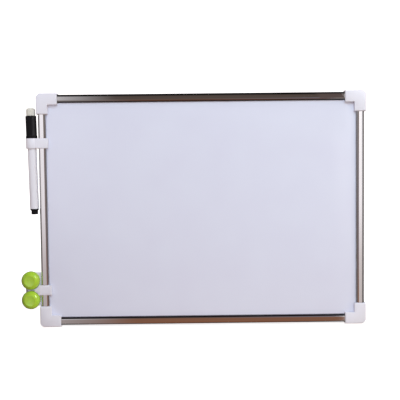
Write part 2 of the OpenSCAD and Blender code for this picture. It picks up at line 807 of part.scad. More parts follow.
module stand_leg()
    color("#dedbe2") on_leg() {
        difference() {
            intersection() {
                deep(-leg_d / 2, leg_d / 2) strut_outline();
                above_desk(foot_sole);
            }
            deep(-leg_d, leg_d / 2 - leg_skin_t) leg_pockets();
        }
        rotate([90, 0, 90]) linear_extrude(knuckle_w, center = true) knuckle_side();
    }

// A groove round the outside of the foot at a distance down the leg
module foot_groove_ring(d)
    difference() {
        deep(-leg_d, leg_d) leg_outline(d - foot_groove, d + foot_groove, foot_t + over);
        deep(foot_groove - leg_d / 2 - foot_t, leg_d / 2 + foot_t - foot_groove)
            leg_outline(d - over, d + over, foot_t - foot_groove);
    }

module leg_foot()
    color("#2b2b2e") on_leg() difference() {
        intersection() {
            deep(-leg_d / 2 - foot_t, leg_d / 2 + foot_t)
                leg_outline(leg_reach - foot_sole - foot_h, leg_reach + foot_h, foot_t);
            above_desk();
        }
        for (i = [1:foot_grooves]) foot_groove_ring(leg_reach - foot_sole - foot_h * i / (foot_grooves + 1));
        intersection() {
            deep(-leg_d / 2 - foot_gap, leg_d / 2 + foot_gap)
                leg_outline(leg_reach / 2, leg_reach + foot_h, foot_gap);
            above_desk(foot_sole - foot_gap);
        }
    }

module leg_hinge_pin()
    color("#a3a5aa") on_leg() {
        across(pin_r, ear_out + pin_head_gap);
        for (side = [0, 1]) mirror([side, 0, 0]) translate([ear_out + pin_head_gap, 0, 0])
            rotate([0, 90, 0]) cylinder(r = pin_head_r, h = pin_head_t);
    }

// Rounded outline of the bracket's base
module base_outline() {
    square([base_w - 2 * base_r, base_h], center = true);
    square([base_w, base_h - 2 * base_r], center = true);
    for (x = [-1, 1], z = [-1, 1])
        translate([x * (base_w / 2 - base_r), z * (base_h / 2 - base_r)]) circle(r = base_r);
}

module leg_bracket()
    color("#dedbe2") on_board() difference() {
        translate([0, hinge_y, hinge_z]) difference() {
            union() {
                deep(-hinge_back, base_face) base_outline();
                for (side = [0, 1]) mirror([side, 0, 0]) translate([ear_in, 0, 0])
                    rotate([90, 0, 90]) linear_extrude(ear_t) {
                        circle(r = ear_r);
                        polygon([[base_face - eps, -ear_half], [0, -ear_r], [0, ear_r],
                            [base_face - eps, ear_half]]);
                    }
                for (x = [0, 1], z = [0, 1]) mirror([x, 0, 0]) mirror([0, 0, z])
                    translate([ear_out - eps, base_face - eps, gusset_z]) linear_extrude(gusset_t)
                        polygon([[0, 0], [gusset_len, 0], [0, gusset_h]]);
            }
            across(pin_r + pin_gap, base_w);
        }
        rivet_holes();
    }

module bracket_rivets()
    color("#b4b6ba") on_board() at_rivets() {
        rod(rivet_r, -rivet_grip, base_t);
        intersection() {
            translate([0, 0, base_t + rivet_head_h - rivet_sphere_r]) sphere(r = rivet_sphere_r);
            rod(2 * rivet_head_r, base_t, base_t + 2 * rivet_head_h);
        }
    }

writing_sheet();
core_panel();
back_sheet();
rail_top();
rail_bottom();
rail_left();
rail_right();
corner_top_left();
corner_top_right();
corner_bottom_left();
corner_bottom_right();
corner_screws();
pen_clip();
marker_barrel();
marker_end_plug();
marker_front_section();
marker_nib();
ink_reservoir();
marker_cap();
cap_eraser();
magnet_holder();
holder_keeper();
magnet_cap_upper();
magnet_disc_upper();
magnet_cap_lower();
magnet_disc_lower();
leg_bracket();
bracket_rivets();
leg_hinge_pin();
stand_leg();
leg_foot();
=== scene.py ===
# %% [markdown]
# # Dressing a small magnetic whiteboard
#
# The object is a 25 x 35 cm dry-erase board in an aluminium frame. It leans back on a folding rear leg. A
# clip on its left rail holds a marker, and a second clip holds two round magnets. The solids come from a
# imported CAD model, so this lesson only gives them their surfaces, softens their edges and adds what is too
# fine for the CAD: screw recesses, rivet stems and felt.

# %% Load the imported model
import json
import math

import bpy
from mathutils import Matrix, Vector

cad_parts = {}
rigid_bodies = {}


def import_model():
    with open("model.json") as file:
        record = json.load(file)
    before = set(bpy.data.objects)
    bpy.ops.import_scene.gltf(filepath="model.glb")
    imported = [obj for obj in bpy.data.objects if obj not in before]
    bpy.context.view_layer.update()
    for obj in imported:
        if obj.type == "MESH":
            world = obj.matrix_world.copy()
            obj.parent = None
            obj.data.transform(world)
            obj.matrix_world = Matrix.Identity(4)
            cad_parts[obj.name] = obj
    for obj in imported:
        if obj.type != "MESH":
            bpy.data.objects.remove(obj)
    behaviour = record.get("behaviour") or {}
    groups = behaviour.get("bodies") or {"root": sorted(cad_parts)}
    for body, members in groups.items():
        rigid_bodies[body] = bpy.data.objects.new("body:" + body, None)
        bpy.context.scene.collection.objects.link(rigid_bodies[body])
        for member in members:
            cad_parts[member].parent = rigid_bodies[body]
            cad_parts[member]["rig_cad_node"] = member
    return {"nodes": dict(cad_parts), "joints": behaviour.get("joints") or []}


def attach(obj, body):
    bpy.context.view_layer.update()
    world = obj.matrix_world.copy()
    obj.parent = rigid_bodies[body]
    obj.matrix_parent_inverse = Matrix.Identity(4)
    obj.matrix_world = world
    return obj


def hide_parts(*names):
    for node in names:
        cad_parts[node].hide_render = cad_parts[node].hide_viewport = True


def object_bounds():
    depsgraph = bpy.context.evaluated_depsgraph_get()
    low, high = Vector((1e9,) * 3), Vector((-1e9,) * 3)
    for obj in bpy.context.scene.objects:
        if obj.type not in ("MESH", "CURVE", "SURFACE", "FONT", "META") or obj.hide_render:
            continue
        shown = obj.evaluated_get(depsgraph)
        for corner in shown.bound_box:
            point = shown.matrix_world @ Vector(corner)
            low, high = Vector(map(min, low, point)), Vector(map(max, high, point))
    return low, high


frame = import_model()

cad_low, cad_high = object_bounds()
MM = 0.001
print("CAD box in mm:", [round((b - a) / MM, 1) for a, b in zip(cad_low, cad_high)])

# %% [markdown]
# The board leans back, so many surfaces are turned about X by that lean. The hinge of the two sliding clips
# runs straight up the board, and its axis gives the lean without a number typed twice.

# %% Directions of the leaning board
slide = next(j for j in frame["joints"] if j["name"] == "pen_clip_slide")
UP_BOARD = Vector(slide["axis"]).normalized()
LEAN = math.atan2(UP_BOARD.y, UP_BOARD.z)
BACK = Matrix.Rotation(-LEAN, 4, "X") @ Vector((0, 1, 0))
sheet_level = max(-BACK.dot(v.co) for v in frame["nodes"]["writing_sheet"].data.vertices)
print("lean in degrees:", round(math.degrees(LEAN), 2))

# %% [markdown]
# ## Camera
#
# The photograph looks almost square at the board. Its four corners fix the camera: 80 cm away, a little
# above the middle, with a 67.5 mm lens on a 36 mm sensor. Because the board leans, that camera looks down
# on the desk.

# %% Camera
bpy.ops.object.camera_add(
    location=(0.00402, -0.7675, 0.39059),
    rotation=[math.radians(a) for a in (71.044, 0.52, -0.446)],
)
camera = bpy.context.object
camera.data.sensor_width = 36
camera.data.lens = 67.5
bpy.context.scene.camera = camera

# %% [markdown]
# ## Colours and nodes
#
# Colours are written as sRGB hex values, as a colour picker shows them, and one function turns them to the
# linear values that the renderer works in. One more function adds a shader node, sets it and links it.

# %% Colour and node helpers
def linear(hex_colour):
    """A colour such as "#e6e7f4" as linear red, green, blue and alpha."""
    channels = [int(hex_colour[i:i + 2], 16) / 255 for i in (1, 3, 5)]
    return [c / 12.92 if c <= 0.04045 else ((c + 0.055) / 1.055) ** 2.4 for c in channels] + [1.0]


def add_node(tree, kind, settings=None, **inputs):
    """Adds a node and sets its properties and inputs: i0 is its first input, A_B its input "A B"."""
    node = tree.nodes.new("ShaderNode" + kind)
    for key, value in (settings or {}).items():
        setattr(node, key, value)
    for key, value in inputs.items():
        socket = node.inputs[int(key[1:])] if key[1:].isdigit() else node.inputs[key.replace("_", " ")]
        if isinstance(value, bpy.types.NodeSocket):
            tree.links.new(value, socket)
        else:
            socket.default_value = value
    return node


def new_finish(name, **shader_values):
    """An empty finish: its material, its node tree and its main shader."""
    finish = bpy.data.materials.new(name)
    finish.use_nodes = True
    tree = finish.node_tree
    shader = tree.nodes["Principled BSDF"]
    for key, value in shader_values.items():
        shader.inputs[key.replace("_", " ")].default_value = value
    return finish, tree, shader


def dress(finish, *node_names):
    """Gives CAD nodes a finish."""
    for name in node_names:
        mesh = frame["nodes"][name].data
        mesh.materials.clear()
        mesh.materials.append(finish)

# %% [markdown]
# ## Lacquered steel writing sheet
#
# The face is steel sheet under a hard clear lacquer, so it is white with a cool violet tint and a sharp
# shine over a softer one. Rolled sheet is never quite flat, which the faint ripple of some 40 mm gives.
# Wiped ink leaves faint streaks that only change the gloss.

# %% Lacquered steel
lacquer, tree, shader = new_finish("lacquered_steel", Coat_Weight=0.7, Coat_Roughness=0.06)
place = add_node(tree, "TexCoord")
ripple = add_node(tree, "TexNoise", Vector=place.outputs["Object"], Scale=1 / 0.04, Detail=1.0)
wipes = add_node(tree, "Mapping", {"vector_type": "TEXTURE"}, Vector=place.outputs["Object"],
                 Rotation=(-LEAN, 0, math.radians(8)), Scale=(0.12, 1.0, 0.012))
streaks = add_node(tree, "TexNoise", Vector=wipes.outputs["Vector"], Scale=1.0, Detail=4.0)
tint = add_node(tree, "ValToRGB", i0=ripple.outputs["Fac"])
tint.color_ramp.elements[0].color = linear("#e2e1f2")
tint.color_ramp.elements[1].color = linear("#e7e8f7")
gloss = add_node(tree, "MapRange", Value=streaks.outputs["Fac"], To_Min=0.24, To_Max=0.4)
bump = add_node(tree, "Bump", Height=ripple.outputs["Fac"], Strength=0.05, Distance=0.2 * MM)
tree.links.new(tint.outputs["Color"], shader.inputs["Base Color"])
tree.links.new(gloss.outputs["Result"], shader.inputs["Roughness"])
tree.links.new(bump.outputs["Normal"], shader.inputs["Normal"])
tree.links.new(bump.outputs["Normal"], shader.inputs["Coat Normal"])
dress(lacquer, "writing_sheet")

# %% [markdown]
# ## Aluminium rails
#
# The rails are extruded aluminium with a clear anodised skin. The die leaves fine lines along each rail, so
# the pattern is stretched along the length and is a different way round on the flat and the upright rails.
# The lines of a real die are some 0.1 mm apart; they are drawn near 0.6 mm so that they show at all. Where
# the rounded lip meets the writing sheet, the metal's colour is darkened as painted shade. It stands in for
# the dark line of shade and reflection along the lip's foot. The painted shade reaches higher on the two
# flat rails. It is darkest under the top rail and faintest on the left rail, where it is a pale bluish tone.

# %% Anodised aluminium
def extruded_aluminium(name, along, lip_shade, lip_shade_mm):
    """Clear anodised aluminium with die lines along X (0) or up the board (2), and painted shade just above
    the sheet.
    """
    finish, tree, shader = new_finish(name, Metallic=1.0)
    place = add_node(tree, "TexCoord")
    stretch = [0.0006, 0.0006, 0.0006]
    stretch[along] = 0.08
    lines_place = add_node(tree, "Mapping", {"vector_type": "TEXTURE"}, Vector=place.outputs["Object"],
                           Rotation=(-LEAN, 0, 0), Scale=stretch)
    lines = add_node(tree, "TexNoise", Vector=lines_place.outputs["Vector"], Scale=1.0, Detail=3.0)
    cloud = add_node(tree, "TexNoise", Vector=place.outputs["Object"], Scale=1 / 0.03, Detail=2.0)
    both = add_node(tree, "Math", {"operation": "ADD"}, i0=lines.outputs["Fac"], i1=cloud.outputs["Fac"])
    colour = add_node(tree, "ValToRGB", i0=lines.outputs["Fac"])
    colour.color_ramp.elements[0].color = linear("#d8d5d4")
    colour.color_ramp.elements[1].color = linear("#e9e7e6")
    gloss = add_node(tree, "MapRange", Value=both.outputs["Value"], From_Max=2.0, To_Min=0.04, To_Max=0.1)
    # Painted shade: in a band from the sheet's face up to a given height, the metal's colour turns to the
    # shade colour.
    above_sheet = add_node(tree, "VectorMath", {"operation": "DOT_PRODUCT"}, i0=place.outputs["Object"],
                           i1=-BACK)
    level = above_sheet.outputs["Value"]
    foot = add_node(tree, "MapRange", {"interpolation_type": "SMOOTHSTEP"}, Value=level,
                    From_Min=sheet_level + (lip_shade_mm - 1) * MM, From_Max=sheet_level + lip_shade_mm * MM)
    behind = add_node(tree, "Math", {"operation": "LESS_THAN"}, i0=level, i1=sheet_level - 0.2 * MM)
    unshaded = add_node(tree, "Math", {"operation": "MAXIMUM"}, i0=foot.outputs["Result"],
                     i1=behind.outputs["Value"])
    lip_shaded = add_node(tree, "Mix", {"data_type": "RGBA"}, i0=unshaded.outputs["Value"], i6=linear(lip_shade),
                      i7=colour.outputs["Color"])
    bump = add_node(tree, "Bump", Height=lines.outputs["Fac"], Strength=0.04, Distance=0.03 * MM)
    tree.links.new(lip_shaded.outputs[2], shader.inputs["Base Color"])
    tree.links.new(gloss.outputs["Result"], shader.inputs["Roughness"])
    tree.links.new(bump.outputs["Normal"], shader.inputs["Normal"])
    return finish


# Each rail gets its own colour and height of painted shade along the lip's foot.
dress(extruded_aluminium("anodised_top_rail", along=0, lip_shade="#403c3d", lip_shade_mm=3.1), "rail_top")
dress(extruded_aluminium("anodised_bottom_rail", along=0, lip_shade="#706a70", lip_shade_mm=3.1), "rail_bottom")
dress(extruded_aluminium("anodised_left_rail", along=2, lip_shade="#c8cad8", lip_shade_mm=1.5), "rail_left")
dress(extruded_aluminium("anodised_right_rail", along=2, lip_shade="#58565a", lip_shade_mm=1.9), "rail_right")

# %% [markdown]
# ## Moulded plastics
#
# Corner caps, clips, leg and bracket are ABS, moulded in a tool whose walls are finely spark-eroded. That
# gives a satin surface with a grain of about 0.3 mm. The marker's barrel and cap are polypropylene,
# smoother and waxier. One recipe serves them all: a colour that drifts a little, a fine grain in the bump
# and a slow drift in the gloss.

# %% Moulded plastic
def moulded_plastic(name, dark, light, rough, grain_mm=0.3, grain_depth=0.02, **shader_values):
    """Moulded plastic between two shades, with a grain of a given size and depth in millimetres."""
    finish, tree, shader = new_finish(name, **shader_values)
    place = add_node(tree, "TexCoord")
    drift = add_node(tree, "TexNoise", Vector=place.outputs["Object"], Scale=1 / (25 * MM), Detail=2.0)
    grain = add_node(tree, "TexNoise", Vector=place.outputs["Object"], Scale=1 / (grain_mm * MM), Detail=2.0)
    colour = add_node(tree, "ValToRGB", i0=drift.outputs["Fac"])
    colour.color_ramp.elements[0].color = linear(dark)
    colour.color_ramp.elements[1].color = linear(light)
    gloss = add_node(tree, "MapRange", Value=drift.outputs["Fac"], To_Min=rough - 0.05, To_Max=rough + 0.05)
    bump = add_node(tree, "Bump", Height=grain.outputs["Fac"], Strength=0.3, Distance=grain_depth * MM)
    tree.links.new(colour.outputs["Color"], shader.inputs["Base Color"])
    tree.links.new(gloss.outputs["Result"], shader.inputs["Roughness"])
    tree.links.new(bump.outputs["Normal"], shader.inputs["Normal"])
    return finish


white_abs = moulded_plastic("moulded_white_abs", "#e9e5ee", "#efecf5", 0.34)
barrel_plastic = moulded_plastic("white_polypropylene", "#e8e4ec", "#f0edf4", 0.22, grain_depth=0.008)
black_plastic = moulded_plastic("black_polypropylene", "#0c0a0e", "#131115", 0.5, grain_depth=0.01,
                                Specular_IOR_Level=0.3)
lime_plastic = moulded_plastic("lime_polystyrene", "#aed42f", "#bfe548", 0.16, grain_depth=0.005,
                               Coat_Weight=0.6, Coat_Roughness=0.05, Subsurface_Weight=0.15,
                               Subsurface_Scale=0.003)
back_paint = moulded_plastic("painted_back_sheet", "#c3c6ca", "#cdd0d4", 0.42, grain_mm=0.8,
                             grain_depth=0.015)
rubber = moulded_plastic("moulded_rubber", "#1c1c1e", "#27272a", 0.75, grain_mm=0.5, grain_depth=0.05)
dress(white_abs, "corner_top_left", "corner_top_right", "corner_bottom_left", "corner_bottom_right",
      "pen_clip", "magnet_holder", "stand_leg", "leg_bracket")
dress(barrel_plastic, "marker_barrel")
dress(black_plastic, "marker_cap", "marker_end_plug", "marker_front_section")
dress(lime_plastic, "magnet_cap_upper", "magnet_cap_lower")
dress(rubber, "leg_foot")
dress(back_paint, "back_sheet")

# %% [markdown]
# ## Small metal parts
#
# Screws, hinge pin and keeper strip are zinc-plated steel; rivets are bare aluminium. Plating is bright
# with a slightly cloudy gloss.

# %% Plated steel and rivet aluminium
def small_metal(name, dark, light, rough, cloud_mm):
    """A bright metal with a cloudy gloss."""
    finish, tree, shader = new_finish(name, Metallic=1.0)
    place = add_node(tree, "TexCoord")
    cloud = add_node(tree, "TexNoise", Vector=place.outputs["Object"], Scale=1 / (cloud_mm * MM), Detail=4.0)
    colour = add_node(tree, "ValToRGB", i0=cloud.outputs["Fac"])
    colour.color_ramp.elements[0].color = linear(dark)
    colour.color_ramp.elements[1].color = linear(light)
    gloss = add_node(tree, "MapRange", Value=cloud.outputs["Fac"], To_Min=rough - 0.08, To_Max=rough + 0.08)
    bump = add_node(tree, "Bump", Height=cloud.outputs["Fac"], Strength=0.1, Distance=0.02 * MM)
    tree.links.new(colour.outputs["Color"], shader.inputs["Base Color"])
    tree.links.new(gloss.outputs["Result"], shader.inputs["Roughness"])
    tree.links.new(bump.outputs["Normal"], shader.inputs["Normal"])
    return finish


plated_steel = small_metal("zinc_plated_steel", "#b7b9bd", "#d5d7da", 0.3, 1.5)
rivet_metal = small_metal("bare_aluminium", "#c4c5c8", "#dddee0", 0.35, 2.0)
dress(plated_steel, "corner_screws", "leg_hinge_pin", "holder_keeper")
dress(rivet_metal, "bracket_rivets")

# %% [markdown]
# ## Fibre, felt, board and ferrite
#
# The eraser is pressed wool felt, the nib and the reservoir are bundled polyester fibre, the core is brown
# fibre board and the magnets are sintered ferrite. All are dull and differ in the size of their grain.

# %% Fibrous and sintered materials
def fibrous(name, dark, light, grain_mm, depth_mm, sheen=0.0):
    """A dull material with a grain of a given size and depth in millimetres."""
    finish, tree, shader = new_finish(name, Roughness=0.95, Sheen_Weight=sheen)
    place = add_node(tree, "TexCoord")
    grain = add_node(tree, "TexNoise", Vector=place.outputs["Object"], Scale=1 / (grain_mm * MM), Detail=6.0,
                     Roughness=0.7)
    colour = add_node(tree, "ValToRGB", i0=grain.outputs["Fac"])
    colour.color_ramp.elements[0].position = 0.3
    colour.color_ramp.elements[0].color = linear(dark)
    colour.color_ramp.elements[1].position = 0.7
    colour.color_ramp.elements[1].color = linear(light)
    bump = add_node(tree, "Bump", Height=grain.outputs["Fac"], Strength=0.6, Distance=depth_mm * MM)
    tree.links.new(colour.outputs["Color"], shader.inputs["Base Color"])
    tree.links.new(bump.outputs["Normal"], shader.inputs["Normal"])
    return finish


felt = fibrous("pressed_felt", "#d2cdc2", "#f3efe6", 1.2, 0.3, sheen=0.4)
nib_fibre = fibrous("polyester_fibre", "#1b2436", "#2c3a56", 0.4, 0.1)
fibre_board = fibrous("fibre_board", "#8a6a44", "#b1905f", 1.0, 0.1)
ferrite = fibrous("sintered_ferrite", "#262628", "#38383b", 0.3, 0.03)
dress(felt, "cap_eraser")
dress(nib_fibre, "marker_nib", "ink_reservoir")
dress(fibre_board, "core_panel")
dress(ferrite, "magnet_disc_upper", "magnet_disc_lower")

# %% [markdown]
# ## Softened mouldings
#
# No moulded edge is sharp: the tool's own edges are broken by a few tenths of a millimetre, and that thin
# round is what catches the light. It could be drawn edge by edge in the CAD, but a bevel along every edge
# that turns by more than 30 degrees is quick and even. So each plastic piece is copied from its CAD node,
# its loose triangles are merged to clean faces, and a bevel modifier rounds it.

# %% Copies with rounded edges
def select_only(obj):
    """Makes one object the selected and active one."""
    bpy.ops.object.select_all(action="DESELECT")
    obj.select_set(True)
    bpy.context.view_layer.objects.active = obj


def copy_node(node_name, piece_name):
    """A merged copy of a CAD node's mesh, with whole flat faces instead of triangles."""
    select_only(frame["nodes"][node_name])
    bpy.ops.object.duplicate()
    piece = bpy.context.object
    piece.name = piece_name
    del piece["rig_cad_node"]  # the copy itself is no CAD node
    bpy.ops.object.mode_set(mode="EDIT")
    bpy.ops.mesh.select_all(action="SELECT")
    bpy.ops.mesh.remove_doubles(threshold=0.002 * MM)
    bpy.ops.mesh.dissolve_limited(angle_limit=math.radians(0.5))
    bpy.ops.mesh.normals_make_consistent(inside=False)
    bpy.ops.object.mode_set(mode="OBJECT")
    return piece


def apply_modifier(piece, kind, **settings):
    """Adds a modifier with its settings and applies it."""
    select_only(piece)
    modifier = piece.modifiers.new(kind.lower(), kind)
    for key, value in settings.items():
        setattr(modifier, key, value)
    bpy.ops.object.modifier_apply(modifier=modifier.name)


def settle(piece, node_name, body, smooth_deg=35):
    """Shades a piece, and has it ride on its body in place of its CAD node."""
    select_only(piece)
    bpy.ops.object.shade_smooth_by_angle(angle=math.radians(smooth_deg))
    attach(piece, body)
    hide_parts(node_name)


def soften(node_name, body, radius_mm):
    """Puts a copy with rounded edges in place of a CAD node."""
    piece = copy_node(node_name, node_name + "_moulding")
    apply_modifier(piece, "BEVEL", width=radius_mm * MM, segments=2, limit_method="ANGLE",
                   angle_limit=math.radians(30), use_clamp_overlap=False)
    settle(piece, node_name, body)
    print(piece.name, "has", len(piece.data.polygons), "faces")


for corner in ("top_left", "top_right", "bottom_left", "bottom_right"):
    soften("corner_" + corner, "board", 0.3)
soften("pen_clip", "pen_clip", 0.25)
soften("magnet_holder", "magnet_holder", 0.25)
soften("leg_bracket", "board", 0.2)
soften("stand_leg", "leg", 0.3)
soften("leg_foot", "leg", 0.15)
soften("marker_cap", "marker_cap", 0.15)
soften("marker_end_plug", "marker", 0.15)

# %% [markdown]
# ## Screw recesses and rivet stems
#
# Each corner cap is held by two countersunk screws with a cross recess, and the bracket by four blind
# rivets whose pulled stems leave a small hole with a broken stub in it. Both are too fine for the CAD. A
# cutter is made at every head at once and taken away by a boolean modifier. The heads' places come from the
# loose parts of the CAD node.

# %% Cross recesses and stem holes
CROSS_ARMS_MM = [(2.5, 0.55), (0.55, 2.5)]
STEM_RADIUS_MM = 0.95
RECESS_DEPTH_MM = 0.9


def head_places(node_name):
    """The middle of the rearmost ring of each loose part of a node, in metres."""
    copy_node(node_name, "probe")
    bpy.ops.object.mode_set(mode="EDIT")
    bpy.ops.mesh.separate(type="LOOSE")
    bpy.ops.object.mode_set(mode="OBJECT")
    places = []
    for part in list(bpy.context.selected_objects):
        points = [v.co.copy() for v in part.data.vertices]
        middle = (Vector(map(min, *points)) + Vector(map(max, *points))) / 2
        rear = max(p.dot(BACK) for p in points)
        places.append(middle + (rear - middle.dot(BACK)) * BACK)
        mesh = part.data
        bpy.data.objects.remove(part)
        bpy.data.meshes.remove(mesh)
    return places


def cutters(places, sizes_mm, depth_mm, kind):
    """One mesh of crosses or rods, one at each place, that reach in by a depth."""
    made = []
    turn = BACK.to_track_quat("Z", "Y").to_euler()
    for place in places:
        for size in sizes_mm:
            if kind == "cross":
                bpy.ops.mesh.primitive_cube_add(size=1, location=place, rotation=turn, scale=(
                    size[0] * MM, size[1] * MM, 2 * depth_mm * MM))
            else:
                bpy.ops.mesh.primitive_cylinder_add(vertices=20, radius=size * MM, depth=2 * depth_mm * MM,
                                                    location=place, rotation=turn)
            made.append(bpy.context.object)
    bpy.ops.object.select_all(action="DESELECT")
    for obj in made:
        obj.select_set(True)
    bpy.context.view_layer.objects.active = made[0]
    bpy.ops.object.join()
    bpy.ops.object.transform_apply(location=True, rotation=True, scale=True)
    return bpy.context.object


def cut_away(piece, cutter):
    """Takes the cutter's shape out of a piece and removes the cutter."""
    apply_modifier(piece, "BOOLEAN", operation="DIFFERENCE", object=cutter, solver="EXACT", use_self=True)
    mesh = cutter.data
    bpy.data.objects.remove(cutter)
    bpy.data.meshes.remove(mesh)


screw_places = head_places("corner_screws")
screws = copy_node("corner_screws", "corner_screws_cross_head")
cut_away(screws, cutters(screw_places, CROSS_ARMS_MM, RECESS_DEPTH_MM, "cross"))
settle(screws, "corner_screws", "board")
print(len(screw_places), "screw heads with a cross recess")

rivet_places = head_places("bracket_rivets")
rivets = copy_node("bracket_rivets", "bracket_rivets_pulled")
cut_away(rivets, cutters(rivet_places, [STEM_RADIUS_MM], RECESS_DEPTH_MM, "rod"))
settle(rivets, "bracket_rivets", "board")
print(len(rivet_places), "rivets with a stem hole")

# %% [markdown]
# ## Felt eraser
#
# The eraser is a plug of pressed felt that is cut off a rod and glued into the cap, and use wears it a
# little narrower at its end. Felt never has a clean outline, so the cylinder's top face is drawn in, its
# edge is rounded, its faces are subdivided and every point is moved a little at random, with a fixed seed.
# It is a touch smaller than the CAD solid, so that no point leaves it.

# %% Felt eraser
pull = next(j for j in frame["joints"] if j["name"] == "cap_pull")
PEN_UP = Vector(pull["axis"]).normalized()
FELT_TAPER = 0.93
FELT_ROUNDING = 2.0 * MM
FELT_ROUGHNESS = 0.1 * MM
felt_points = [v.co.copy() for v in frame["nodes"]["cap_eraser"].data.vertices]
felt_low = min(p.dot(PEN_UP) for p in felt_points)
felt_high = max(p.dot(PEN_UP) for p in felt_points)
foot_ring = [p for p in felt_points if p.dot(PEN_UP) < felt_low + 0.01 * MM]
felt_foot = sum(foot_ring, Vector()) / len(foot_ring)
felt_radius = max((p - felt_foot).cross(PEN_UP).length for p in foot_ring)
loose = 0.12 * MM
felt_height = felt_high - felt_low - 2 * loose
bpy.ops.object.select_all(action="DESELECT")
bpy.ops.mesh.primitive_cylinder_add(
    vertices=40, radius=felt_radius - loose, depth=felt_height,
    location=felt_foot + (loose + felt_height / 2) * PEN_UP,
    rotation=PEN_UP.to_track_quat("Z", "Y").to_euler())
felt_piece = bpy.context.object
felt_piece.name = "cap_eraser_felt"
for polygon in felt_piece.data.polygons:
    polygon.select = polygon.center.z > 0.49 * felt_height
bpy.ops.object.mode_set(mode="EDIT")
bpy.ops.transform.resize(value=[FELT_TAPER] * 3, center_override=felt_foot + (loose + felt_height) * PEN_UP)
bpy.ops.mesh.bevel(offset=FELT_ROUNDING, segments=5, affect="EDGES")
bpy.ops.mesh.select_all(action="SELECT")
bpy.ops.mesh.quads_convert_to_tris()
bpy.ops.mesh.subdivide(number_cuts=2)
bpy.ops.transform.vertex_random(offset=FELT_ROUGHNESS, uniform=0.6, seed=4)
bpy.ops.object.mode_set(mode="OBJECT")
bpy.ops.object.transform_apply(location=True, rotation=True, scale=True)
felt_piece.data.materials.append(felt)
settle(felt_piece, "cap_eraser", "marker_cap", 60)
print("felt radius in mm:", round(felt_radius / MM, 2), "height:", round(felt_height / MM, 1))

# %% [markdown]
# ## Floor and light
#
# The photograph is a cut-out on white, so the desk is a plain, nearly white floor that only the camera
# sees. In the rails one sees what stood round the board: bright walls in front, dimmer ones at the sides, a
# warm dark floor and a dark ceiling. The sky has these as soft patches by direction, and shows them to
# mirrors alone. The camera sees it white, and the other surfaces get a soft light from it that is cooler
# and stronger from above.

# %% Floor
bpy.ops.mesh.primitive_plane_add(size=60, location=(0, 0, 0))
floor = bpy.context.object
floor.name = "floor"
floor_finish = new_finish("pale_floor", Roughness=0.9, Specular_IOR_Level=0.1, Base_Color=linear("#f8f8fa"),
                          Emission_Color=linear("#ffffff"), Emission_Strength=0.75)[0]
floor.data.materials.append(floor_finish)
floor.visible_glossy = False
floor.visible_diffuse = False

# %% Sky with the room that the rails mirror
world = bpy.data.worlds.new("studio")
bpy.context.scene.world = world
world.use_nodes = True
tree = world.node_tree
tree.nodes.clear()
direction = add_node(tree, "TexCoord").outputs["Generated"]
parts = add_node(tree, "SeparateXYZ", Vector=direction)
front = add_node(tree, "Math", {"operation": "MULTIPLY"}, i0=parts.outputs["Y"], i1=-1.0)
azimuth = add_node(tree, "Math", {"operation": "ARCTAN2"}, i0=parts.outputs["X"], i1=front.outputs["Value"])
elevation = add_node(tree, "Math", {"operation": "ARCSINE"}, i0=parts.outputs["Z"])


def by_angle(angle, stops):
    """A colour that follows an angle: stops are (degrees, colour)."""
    low, high = stops[0][0], stops[-1][0]
    share = add_node(tree, "MapRange", Value=angle.outputs["Value"],
                     From_Min=math.radians(low), From_Max=math.radians(high))
    ramp = add_node(tree, "ValToRGB", i0=share.outputs["Result"])
    elements = ramp.color_ramp.elements
    for k, (degrees, colour) in enumerate(stops):
        at = (degrees - low) / (high - low)
        if k < 2:
            elements[k].position = at
            elements[k].color = (*colour, 1)
        else:
            elements.new(at).color = (*colour, 1)
    return ramp.outputs["Color"]


walls = by_angle(azimuth, [(-180, (0.5, 0.5, 0.5)), (-90, (0.4, 0.4, 0.41)), (-45, (0.4, 0.39, 0.41)),
                           (-22, (1.1, 1.08, 1.14)), (0, (1.3, 1.28, 1.33)), (13, (1.5, 1.48, 1.51)),
                           (18, (0.3, 0.29, 0.31)), (90, (0.34, 0.34, 0.35)), (180, (0.5, 0.5, 0.5))])
fall = by_angle(elevation, [(-90, (0.22, 0.2, 0.19)), (-40, (0.25, 0.23, 0.22)), (-12, (0.45, 0.42, 0.4)),
                            (2, (0.38, 0.34, 0.32)), (8, (0.54, 0.5, 0.49)), (12, (0.8, 0.78, 0.79)),
                            (20, (0.98, 0.98, 0.99)), (30, (0.7, 0.7, 0.7)), (38, (0.05, 0.05, 0.05)),
                            (90, (0.03, 0.03, 0.03))])
mirrored = add_node(tree, "Mix", {"data_type": "RGBA", "blend_type": "MULTIPLY"}, i0=1.0, i6=walls, i7=fall)
soft = by_angle(elevation, [(-90, (0.35, 0.28, 0.25)), (0, (0.54, 0.47, 0.43)), (30, (0.71, 0.64, 0.62)),
                            (90, (0.79, 0.73, 0.7))])
light_path = add_node(tree, "LightPath")
lit = add_node(tree, "Mix", {"data_type": "RGBA"}, i0=light_path.outputs["Is Glossy Ray"],
               i6=soft, i7=mirrored.outputs[2])
plain = add_node(tree, "Mix", {"data_type": "RGBA"}, i0=light_path.outputs["Is Camera Ray"],
                 i6=lit.outputs[2], i7=(1, 1, 1, 1))
sky = add_node(tree, "Background", Color=plain.outputs[2], Strength=1.0)
add_node(tree, "OutputWorld", Surface=sky.outputs["Background"])

# %% [markdown]
# The dark room stood close behind the camera, so both side rails see it, each on the side towards the
# middle. A sky has no such nearness, so a dark card stands before the board, which only mirrors can see. It
# glows a warm brown from the desk to a height of 40 cm and is nearly black from 50 cm. Its left edge is soft
# and greyer, and reaches further in low down than high up. Half way up, its right side holds a paler, bluish
# patch, as a window in that room gives.

